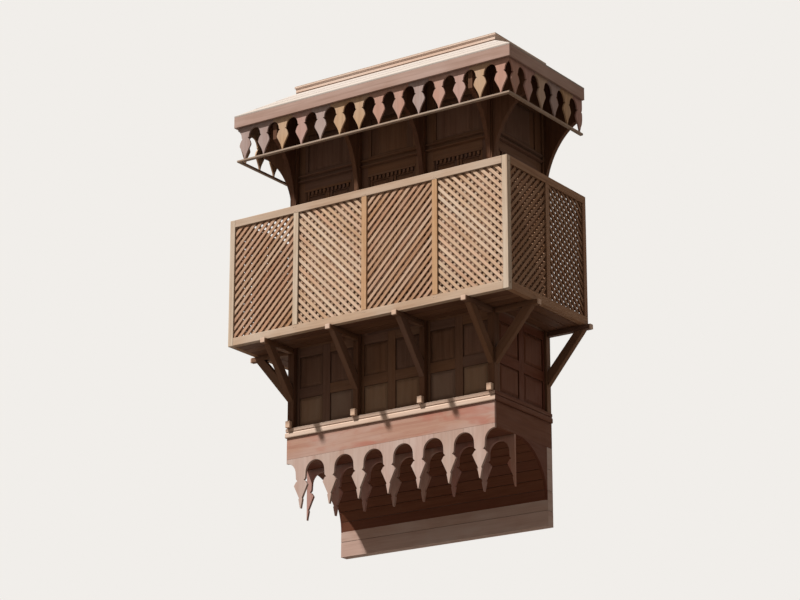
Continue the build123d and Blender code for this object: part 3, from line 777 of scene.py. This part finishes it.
# Pairs of closed leaves with three fields each, and a toothed strip at the window's head
LEAF_FACE = -0.012
LEAF_BACK = -0.028
LEAF_GAP = 0.002
LEAF_STILE = 0.034
LEAF_RAIL = 0.060
LEAF_FIELDS = 3
LEAF_FIELD_RIM = -0.020
LEAF_FIELD_SLOPE = 0.018
SIDE_BEAD = 0.014
SIDE_BEAD_FACE = -0.002
HEAD_BEAD = 0.018
HEAD_BEAD_FACE = 0.004
MEETING_BEAD = 0.018
MEETING_BEAD_FACE = -0.005
TOOTH_PITCH = 0.040
TOOTH_RADIUS = 0.011
TOOTH_DROP = 0.042
TOOTH_THICKNESS = 0.014
TOOTH_MARGIN = 0.020


def window_leaf(timber, face, low, high):
    """Adds one leaf: two stiles, and a rail below and above each of its fields."""
    a, b = low + LEAF_STILE, high - LEAF_STILE
    for s0, s1 in ((low, a), (b, high)):
        slab(timber, face, s0, s1, WINDOW_LOW, WINDOW_HIGH, LEAF_BACK, LEAF_FACE, True)
    row = (WINDOW_HIGH - WINDOW_LOW - LEAF_RAIL) / LEAF_FIELDS
    for k in range(LEAF_FIELDS + 1):
        z0 = WINDOW_LOW + k * row
        slab(timber, face, a, b, z0, z0 + LEAF_RAIL, LEAF_BACK, LEAF_FACE)
    for k in range(LEAF_FIELDS):
        rows = (WINDOW_LOW + LEAF_RAIL + k * row, WINDOW_LOW + (k + 1) * row)
        fielded_panel(timber, face, a, b, *rows, LEAF_BACK, LEAF_FIELD_RIM, LEAF_FACE, LEAF_FIELD_SLOPE)


def window_leaves(timber, face, bay_low, bay_high):
    """Adds the pair of closed leaves, the beads round and between them and the toothed strip."""
    s0, s1 = bay_low + BAY_STILE, bay_high - BAY_STILE
    middle = (s0 + s1) / 2
    window_leaf(timber, face, s0, middle - LEAF_GAP / 2)
    window_leaf(timber, face, middle + LEAF_GAP / 2, s1)
    head = WINDOW_HIGH - HEAD_BEAD
    for a, b in ((s0, s0 + SIDE_BEAD), (s1 - SIDE_BEAD, s1)):
        slab(timber, face, a, b, WINDOW_LOW, head, LEAF_FACE, SIDE_BEAD_FACE, True)
    slab(timber, face, s0, s1, head, WINDOW_HIGH, LEAF_FACE, HEAD_BEAD_FACE)
    a, b = middle - MEETING_BEAD / 2, middle + MEETING_BEAD / 2
    slab(timber, face, a, b, WINDOW_LOW, head, LEAF_FACE, MEETING_BEAD_FACE, True)
    teeth = int((s1 - s0 - TOOTH_MARGIN) / TOOTH_PITCH)
    first = middle - (teeth - 1) * TOOTH_PITCH / 2
    for k in range(teeth):
        s = first + k * TOOTH_PITCH
        tip = arc((s, WINDOW_HIGH - TOOTH_DROP), TOOTH_RADIUS, 180, 360, 6)
        outline = [(s - TOOTH_RADIUS, head)] + tip + [(s + TOOTH_RADIUS, head)]
        timber.prism([face.at(a, z, LEAF_FACE) for a, z in outline], face.out * TOOTH_THICKNESS, Z_AXIS)


bays = [(f"front_{n}", FRONT, *span(f"low_panel_front_{n}", X)) for n in (1, 2, 3)]
sides = [("right", RIGHT, *span("window_wall_right", Y)), ("left", LEFT, *span("window_wall_left", Y))]
lower_fields = Timber(65)
for number, (name, face, low, high) in enumerate(bays):
    wall = Timber(60 + number)
    low_wall(wall, lower_fields, face, low, high)
    wall.finish(f"low_wall_{name}", panel_teak, [f"low_panel_{name}"], bevel=0.0025)
wall = Timber(64)
for name, face, low, high in sides:
    low_wall(wall, wall, face, low, high)
# The side walls take the darker meranti, which is painted shade for the shaded sides
wall.finish("low_wall_sides", shade_darkened_meranti, ["low_panel_sides"], bevel=0.0025)
# The lower fields take the lighter copy, which is painted light
lower_fields.finish("low_wall_lower_fields", painted_light_field_teak, [], bevel=0.0025)

leaves = Timber(79)
for number, (name, face, low, high) in enumerate(bays + sides):
    wall = Timber(70 + number)
    window_wall(wall, face, low, high)
    wall.finish(f"window_surround_{name}", panel_teak, [f"window_wall_{name}"], bevel=0.0025)
    window_leaves(leaves, face, low, high)
leaves.finish("window_leaf_pairs", panel_teak, ["window_leaves"], bevel=0.0015)

# Cornice: a round nosing under a flat band. Its side runs take the darker meranti, which is painted shade
CORNICE_BACK = -0.083
NOSING_TOP = 0.004
cornice = Timber(81)
cornice_returns = Timber(80)
nosing = [(CORNICE_BACK, SILL_BOTTOM), (0.008, SILL_BOTTOM), (0.011, -0.036), (0.012, -0.030)]
nosing += [(0.012, -0.006), (0.010, 0.001), (0.006, NOSING_TOP), (CORNICE_BACK, NOSING_TOP)]
round_three_sides(cornice, BODY_HALF, APRON_FACE, nosing, tones=(0.2, 0.5, 0.4), returns=cornice_returns)
band = [(CORNICE_BACK, NOSING_TOP), (0.003, NOSING_TOP), (0.003, 0.009), (0.008, 0.012)]
band += [(0.008, 0.036), (0.004, FLOOR_TOP), (CORNICE_BACK, FLOOR_TOP)]
round_three_sides(cornice, BODY_HALF, APRON_FACE, band, tones=(0.0, 0.5, 0.4), returns=cornice_returns)
cornice.finish("cornice_moulding", cornice_ash, ["cornice"], bevel=0.001)
cornice_returns.finish("cornice_returns", shade_darkened_meranti, [], bevel=0.001)

# Apron. Its side boards take the darker meranti, which is painted shade
apron = Timber(82)
apron.board((-BODY_HALF, -APRON_FACE, APRON_JOINT), (BODY_HALF, -APRON_BACK, SILL_BOTTOM), X_AXIS, 0.3)
apron.finish("apron_front_board", apron_meranti, ["apron_front"])
apron = Timber(83)
for x0 in (-BODY_HALF, CHEEK_INNER):
    apron.board((x0, -APRON_BACK, SOFFIT), (x0 + APRON_THICKNESS, 0, SILL_BOTTOM), Y_AXIS)
apron.finish("apron_side_boards", shade_darkened_meranti, ["apron_sides"])

# Fringes: keyhole arches between spade-shaped pendants
PENDANTS = 7
PENDANT = 2 * BODY_HALF / PENDANTS
ARCH_TOP = -0.034
ARCH_SPRING = -0.114
ARCH_HALF = 0.092
FRINGE_DEPTH = 0.418
PENDANT_TIP = 0.004
INNER_FRINGE_FACE = depths("fringe_inner")[0]


def pendant_outline():
    """One pendant's outline from the middle of one arch to the middle of the next, hanging from 0."""
    rise = ARCH_TOP - ARCH_SPRING
    radius = (ARCH_HALF**2 + rise**2) / (2 * rise)
    turn = math.degrees(math.asin(ARCH_HALF / radius))
    side = arc((0, ARCH_TOP - radius), radius, 90, 90 - turn, 9)
    side += [(0.096, -0.174), (0.111, -0.190), (0.096, -0.198), (0.076, -0.227), (0.129, -0.335)]
    side += [(0.123, -0.342), (PENDANT / 2 - PENDANT_TIP, -FRINGE_DEPTH)]
    return [(0.0, 0.0)] + side + [(PENDANT - s, z) for s, z in reversed(side)] + [(PENDANT, 0.0)]


def shaped_board(outline, start, low, high):
    """A board's outline moved to its start, cut off at both ends of its run."""
    moved = [(min(max(start + s, low), high), z) for s, z in outline]
    return [p for i, p in enumerate(moved) if math.dist(p, moved[i - 1]) > 1e-5]


def fringe(name, material, depth, top, first, count, node, seed):
    """Makes a fringe of separate pendant boards."""
    timber = Timber(seed)
    for k in range(count):
        outline = shaped_board(pendant_outline(), first + k * PENDANT, -BODY_HALF, BODY_HALF)
        points = [Vector((x, -depth, top + z)) for x, z in outline]
        timber.prism(points, Y_AXIS * APRON_THICKNESS, Z_AXIS)
    timber.finish(name, material, [node], bevel=0.0015)


fringe(
    "fringe_pendants_front", fringe_meranti, APRON_FACE, APRON_JOINT, -BODY_HALF, PENDANTS, "fringe_front", 84
)
# The inner fringe is half a pendant out of step, so it starts and ends with a half
start = -(PENDANTS + 1) / 2 * PENDANT
fringe(
    "fringe_pendants_inner", apron_meranti, INNER_FRINGE_FACE, SOFFIT, start, PENDANTS + 1, "fringe_inner", 85
)

# Soffit, cove and cheeks, all in the darker meranti, which is painted shade under the fringe
SOFFIT_BOARDS = 3
SOFFIT_BOARD = (APRON_BACK - COVE_AT) / SOFFIT_BOARDS
SOFFIT_THICKNESS = 0.020
BOARD_GAP = 0.002
soffit = Timber(86)
for k in range(SOFFIT_BOARDS):
    y0 = -APRON_BACK + k * SOFFIT_BOARD
    low = (-CHEEK_INNER, y0 + BOARD_GAP / 2, SOFFIT)
    soffit.board(low, (CHEEK_INNER, y0 + SOFFIT_BOARD - BOARD_GAP / 2, SOFFIT + SOFFIT_THICKNESS), X_AXIS)
soffit.finish("soffit_boards", shade_darkened_meranti, ["soffit"])

COVE_PLANKS = 8
COVE_THICKNESS = 0.015
COVE_GAP = 0.4
cove = Timber(87)
centre = (-COVE_AT, SOFFIT - COVE_RADIUS)
for k in range(COVE_PLANKS):
    start = 90 * k / COVE_PLANKS + COVE_GAP / 2
    end = 90 * (k + 1) / COVE_PLANKS - COVE_GAP / 2
    section = arc(centre, COVE_RADIUS, start, end, 1)
    section += arc(centre, COVE_RADIUS + COVE_THICKNESS, end, start, 1)
    cove.prism([Vector((-CHEEK_INNER, y, z)) for y, z in section], X_AXIS * 2 * CHEEK_INNER, X_AXIS)
cove.finish("cove_planks", shade_darkened_meranti, ["cove"], bevel=0.0015)

cheeks = Timber(88)
outline = arc(centre, COVE_RADIUS, 90, 0, 16) + [(-FOOT_DEPTH, SOFFIT)]
for x0 in (-BODY_HALF, CHEEK_INNER):
    cheeks.prism([Vector((x0, y, z)) for y, z in outline], X_AXIS * APRON_THICKNESS, Y_AXIS)
cheeks.finish("cove_cheeks", shade_darkened_meranti, ["cheeks"])

# Foot: a clad box against the wall
FOOT_JOINTS = (FOOT_LOW, -0.760, -0.600, -0.425, SOFFIT)
CLADDING = 0.025
foot = Timber(89)
for z0, z1 in zip(FOOT_JOINTS, FOOT_JOINTS[1:]):
    low, high = z0 + BOARD_GAP / 2, z1 - BOARD_GAP / 2
    round_three_sides(foot, BODY_HALF, FOOT_DEPTH, [(-CLADDING, low), (0, low), (0, high), (-CLADDING, high)])
foot_inner = BODY_HALF - CLADDING
for z0, z1 in ((FOOT_LOW + BOARD_GAP / 2, FOOT_LOW + CLADDING), (SOFFIT - CLADDING, SOFFIT - BOARD_GAP / 2)):
    foot.board((-foot_inner, CLADDING - FOOT_DEPTH, z0), (foot_inner, 0, z1), X_AXIS)
foot.finish("foot_boards", fringe_meranti, ["foot"])

# Header and crown
BEAM = 0.050
header = Timber(91)
section = [(-BEAM, BODY_TOP), (0, BODY_TOP), (0, CROWN_LOW), (-BEAM, CROWN_LOW)]
round_three_sides(header, BODY_HALF, HEADER_DEPTH, section, back=WALL_POST)
header.finish("header_beams", panel_teak, ["header"])

CROWN_BAND_TOP = 3.042
CROWN_LIP_TOP = 3.056
CROWN_RIM = 0.110
CROWN_BOARDS = 5
CROWN_BOARD = (HEADER_DEPTH - CROWN_RIM) / CROWN_BOARDS
crown = Timber(92)
crown_top = Timber(90)
band = [(-BEAM, CROWN_LOW), (0.002, CROWN_LOW), (0.002, CROWN_BAND_TOP - 0.008)]
band += [(0.006, CROWN_BAND_TOP), (-BEAM, CROWN_BAND_TOP)]
round_three_sides(crown, BODY_HALF, HEADER_DEPTH, band)
lip = [(-CROWN_RIM, CROWN_BAND_TOP), (0.009, CROWN_BAND_TOP), (0.011, CROWN_BAND_TOP + 0.004)]
lip += [(0.011, CROWN_LIP_TOP), (-CROWN_RIM, CROWN_LIP_TOP)]
round_three_sides(crown, BODY_HALF, HEADER_DEPTH, lip)
rim = [(-CROWN_RIM, CROWN_LIP_TOP), (0.010, CROWN_LIP_TOP), (0.010, CROWN_LIP_TOP + 0.004)]
rim += [(0.007, CROWN_HIGH), (-CROWN_RIM, CROWN_HIGH)]
round_three_sides(crown_top, BODY_HALF, HEADER_DEPTH, rim)
crown_inner = BODY_HALF - CROWN_RIM
for k in range(CROWN_BOARDS):
    y0 = CROWN_RIM - HEADER_DEPTH + k * CROWN_BOARD
    low = (-crown_inner, y0 + BOARD_GAP / 2, CROWN_BAND_TOP)
    crown_top.board(low, (crown_inner, y0 + CROWN_BOARD - BOARD_GAP / 2, CROWN_HIGH), X_AXIS)
crown.finish("crown_boards", crown_pine, ["crown"], bevel=0.0015)
crown_top.finish("crown_top_boards", grey_teak, [], bevel=0.0015)

# Skirt roof: wide boards on sheathing, mitred at the hips, their joints nearly closed by limewash
ROOF_EDGE = 2.755
ROOF_BOARDS = 3
ROOF_BOARD_THICKNESS = 0.009
ROOF_GAP = 0.0015
LAP_STEP = 0.001
SHEATHING_LOW = 2.965
SHEATHING_TOP = 2.987
SHEATHING_EDGE = FASCIA_TOP + 0.0005
roof_front = Timber(93)
roof_sides = Timber(94)
slope = math.hypot(ROOF_RUN, ROOF_TOP - ROOF_EDGE)
fall = (ROOF_RUN / slope, (ROOF_EDGE - ROOF_TOP) / slope)
up = (-fall[1], fall[0])


def roof_point(t, lift):
    """The place (d, z) at a distance down the roof and a height off it."""
    return (fall[0] * t + up[0] * lift, ROOF_TOP + fall[1] * t + up[1] * lift)


sheathing = [(0, SHEATHING_LOW), (0, SHEATHING_TOP), (ROOF_RUN, SHEATHING_EDGE)]
sheathing += [(ROOF_RUN, FASCIA_TOP), (ROOF_RUN - FASCIA_THICKNESS, FASCIA_TOP)]
roof_sections = [sheathing]
for k in range(ROOF_BOARDS):
    t0 = slope * k / ROOF_BOARDS
    t1 = slope * (k + 1) / ROOF_BOARDS - ROOF_GAP
    end = [roof_point(t1, 0), roof_point(t1, -ROOF_BOARD_THICKNESS)]
    if k == ROOF_BOARDS - 1:
        end = [(ROOF_RUN, ROOF_EDGE), (ROOF_RUN, FASCIA_TOP)]
    roof_sections.append([roof_point(t0, -ROOF_BOARD_THICKNESS), roof_point(t0, -LAP_STEP)] + end)
for section in roof_sections:
    round_three_sides(roof_front, BODY_HALF, HEADER_DEPTH, section, returns=roof_sides)
roof_front.finish("roof_boards_front", limewash, ["roof_front"], bevel=0.001)
roof_sides.finish("roof_boards_sides", limewash, ["roof_sides"], bevel=0.001)

# Fascia
fascia = Timber(96)
low = (-FASCIA_HALF, -FASCIA_FACE, FASCIA_LOW)
fascia.board(low, (FASCIA_HALF, -FRIEZE_DEPTH, FASCIA_TOP), X_AXIS, 0.1)
fascia.finish("fascia_front_board", fascia_meranti, ["fascia_front"])
fascia = Timber(97)
for x0 in (-FASCIA_HALF, FRIEZE_HALF):
    fascia.board((x0, -FRIEZE_DEPTH, FASCIA_LOW), (x0 + FASCIA_THICKNESS, 0, FASCIA_TOP), Y_AXIS)
fascia.finish("fascia_side_boards", fascia_meranti, ["fascia_sides"])

# Frieze of shaped boards on a thin rail
FRIEZE_BOARDS = 14
SIDE_FRIEZE_BOARDS = 6
FRIEZE_PITCH = 0.1955
FRIEZE_THICKNESS = 0.014
FRIEZE_TONES = (0.0, 0.25, 0.5, 0.75, 1.0)
FRIEZE_RAIL_TOP = 2.360
FRIEZE_RAIL_LOW = 2.342
VOID_HALF = 0.060
VOID_DOME = 0.076
VOID_SPRING = 0.190


def frieze_outline():
    """One board's outline from the middle of one void to the middle of the next, standing on 0."""
    side = [(VOID_HALF * s, VOID_SPRING + VOID_DOME * z) for s, z in arc((0, 0), 1, 90, 0, 8)]
    side += [(0.071, 0.184), (0.058, 0.172), (0.047, 0.152), (0.039, 0.128), (0.041, 0.116)]
    side += [(0.064, 0.076), (0.081, 0.044), (0.090, 0.018), (0.094, 0.0)]
    top = FASCIA_TOP - FRIEZE_RAIL_TOP
    return [(0.0, top)] + side + [(FRIEZE_PITCH - s, z) for s, z in reversed(side)] + [(FRIEZE_PITCH, top)]


def frieze_run(timber, face, start, low, high, count):
    """Adds shaped boards side by side, cut off at both ends of their run."""
    for k in range(count):
        outline = shaped_board(frieze_outline(), start + k * FRIEZE_PITCH, low, high)
        points = [face.at(s, FRIEZE_RAIL_TOP + z) for s, z in outline]
        timber.prism(points, face.out * -FRIEZE_THICKNESS, Z_AXIS, timber.chance.choice(FRIEZE_TONES))


frieze = Timber(98)
start = -FRIEZE_PITCH * FRIEZE_BOARDS / 2
frieze_run(frieze, FRIEZE_FRONT, start, -FRIEZE_HALF, FRIEZE_HALF, FRIEZE_BOARDS)
frieze.finish("frieze_boards_front", frieze_wood, ["frieze_front"], bevel=0.0015)
frieze = Timber(99)
for face in (FRIEZE_RIGHT, FRIEZE_LEFT):
    frieze_run(frieze, face, -FRIEZE_DEPTH, FRIEZE_THICKNESS - FRIEZE_DEPTH, 0, SIDE_FRIEZE_BOARDS)
frieze.finish("frieze_boards_sides", frieze_wood, ["frieze_sides"], bevel=0.0015)
rail = Timber(100)
section = [(-0.024, FRIEZE_RAIL_LOW), (0.001, FRIEZE_RAIL_LOW), (0.004, FRIEZE_RAIL_LOW + 0.005)]
section += [(0.004, FRIEZE_RAIL_TOP), (-0.024, FRIEZE_RAIL_TOP)]
round_three_sides(rail, FRIEZE_HALF, FRIEZE_DEPTH, section)
rail.finish("frieze_rail", grey_teak, [], bevel=0.0015)

# Brackets under the canopy: a curved edge below, and the sheathing above
BRACKET = 0.040
BRACKET_FOOT = 1.960
BRACKET_TIP = (0.326, 2.475)
BRACKET_TIP_TOP = 2.7555
BRACKET_STEPS = 16
SHEATHING_FALL = 0.6416


def bracket_outline(foot):
    """The side of a bracket in (distance from the header, height)."""
    start = Vector((foot, BRACKET_FOOT))
    end = Vector(BRACKET_TIP)
    reach = (end - start).length
    leave = Vector((0.08, 1.0)).normalized() * reach
    arrive = Vector((1.0, 0.45)).normalized() * reach
    curve = []
    for i in range(BRACKET_STEPS + 1):
        t = i / BRACKET_STEPS
        h = (2 * t**3 - 3 * t**2 + 1, t**3 - 2 * t**2 + t, 3 * t**2 - 2 * t**3, t**3 - t**2)
        point = start * h[0] + leave * h[1] + end * h[2] + arrive * h[3]
        curve.append((point.x, point.y))
    return curve + [(BRACKET_TIP[0], BRACKET_TIP_TOP), (foot, SHEATHING_LOW - SHEATHING_FALL * foot)]


brackets = Timber(101)
for x in POST_PLACES:
    side_view = bracket_outline(POST_FACE - HEADER_DEPTH)
    outline = [Vector((x - BRACKET / 2, -HEADER_DEPTH - d, z)) for d, z in side_view]
    brackets.prism(outline, X_AXIS * BRACKET, Z_AXIS)
for side in (-1, 1):
    for y in (CORNER_STRUT_AT, -BRACKET / 2):
        outline = [Vector((side * (BODY_HALF + d), y - BRACKET / 2, z)) for d, z in bracket_outline(0.0)]
        brackets.prism(outline, Y_AXIS * BRACKET, Z_AXIS)
brackets.finish("canopy_brackets", post_teak, ["brackets"])


def seen_share(tree):
    """One for rays that the eye follows, nothing for rays that carry light."""
    light_path = add_node(tree, "ShaderNodeLightPath")
    share = light_path.outputs["Is Camera Ray"]
    for kind in ("Is Glossy Ray", "Is Transmission Ray"):
        settings = {"operation": "MAXIMUM"}
        share = add_node(tree, "ShaderNodeMath", settings, {0: share, 1: light_path.outputs[kind]}).outputs[0]
    return share


# Floor paint: pale to the eye, while the light that it throws up at the undersides stays low
floor_paint = bpy.data.materials.new("pale_floor")
floor_paint.use_nodes = True
tree = floor_paint.node_tree
tree.nodes.clear()
settings = {0: seen_share(tree), 6: linear("#564E47"), 7: linear("#BFBCB7")}
shade = add_node(tree, "ShaderNodeMix", {"data_type": "RGBA"}, settings)
skin = add_node(tree, "ShaderNodeBsdfPrincipled", None, {"Base Color": shade.outputs[2], "Roughness": 0.9})
add_node(tree, "ShaderNodeOutputMaterial", None, {"Surface": skin.outputs[0]})

# Stage: a pale floor far below, since the screen hangs a storey up
FLOOR_LEVEL = -7.5
FLOOR_REACH = 60.0
corners = [(x * FLOOR_REACH, y * FLOOR_REACH, FLOOR_LEVEL) for x, y in ((-1, -1), (1, -1), (1, 1), (-1, 1))]
mesh = bpy.data.meshes.new("floor")
mesh.from_pydata(corners, [], [(0, 1, 2, 3)])
ground = bpy.data.objects.new("floor", mesh)
bpy.context.scene.collection.objects.link(ground)
mesh.materials.append(floor_paint)

# World: a pale backdrop for the camera, softer light for the object
SKY_STRENGTH = 0.15
world = bpy.data.worlds.new("studio")
bpy.context.scene.world = world
world.use_nodes = True
tree = world.node_tree
tree.nodes.clear()
seen = seen_share(tree)
backdrop = add_node(tree, "ShaderNodeBackground", None, {"Color": linear("#F1EEEA"), "Strength": 1.0})
sky = add_node(tree, "ShaderNodeBackground", None, {"Color": linear("#FBE9D6"), "Strength": SKY_STRENGTH})
mixed = add_node(tree, "ShaderNodeMixShader", None, {0: seen, 1: sky.outputs[0], 2: backdrop.outputs[0]})
add_node(tree, "ShaderNodeOutputWorld", None, {"Surface": mixed.outputs[0]})

# Key light high on the left, as in the photograph, and weak broad ones from the back and the front
# left. Each row has the strength, the spread in degrees, the colour and the way that the light travels
for name, strength, spread, colour, travel in (
    ("key", 5.4, 2, "#FFF6EC", (0.86, 1.0, -2.06)),
    ("fill", 0.5, 40, "#FFDCC0", (-0.10, -1.0, -0.35)),
    ("soft", 0.18, 70, "#FFE9D6", (0.95, 1.0, -0.10)),
):
    lamp = bpy.data.lights.new(name, "SUN")
    lamp.energy = strength
    lamp.angle = math.radians(spread)
    lamp.color = linear(colour)[:3]
    lamp_object = bpy.data.objects.new(name, lamp)
    lamp_object.rotation_mode = "QUATERNION"
    lamp_object.rotation_quaternion = Vector(travel).to_track_quat("-Z", "Y")
    bpy.context.scene.collection.objects.link(lamp_object)

# Camera at the photograph's place, with a longer lens on this one part
SENSOR = 36.0
IMAGE_WIDTH = 800
FOCAL_PIXELS = 2700
CAMERA_PLACE = Vector((11.811, -17.721, -5.766))
CAMERA_AIM = Vector((-0.05, -0.60, 1.03))
camera = bpy.data.cameras.new("camera")
camera.sensor_width = SENSOR
camera.lens = FOCAL_PIXELS * SENSOR / IMAGE_WIDTH
camera.clip_end = 200
camera_object = bpy.data.objects.new("camera", camera)
camera_object.location = CAMERA_PLACE
camera_object.rotation_mode = "QUATERNION"
camera_object.rotation_quaternion = (CAMERA_AIM - CAMERA_PLACE).to_track_quat("-Z", "Y")
bpy.context.scene.collection.objects.link(camera_object)
bpy.context.scene.camera = camera_object

bpy.context.scene.view_settings.view_transform = "Standard"
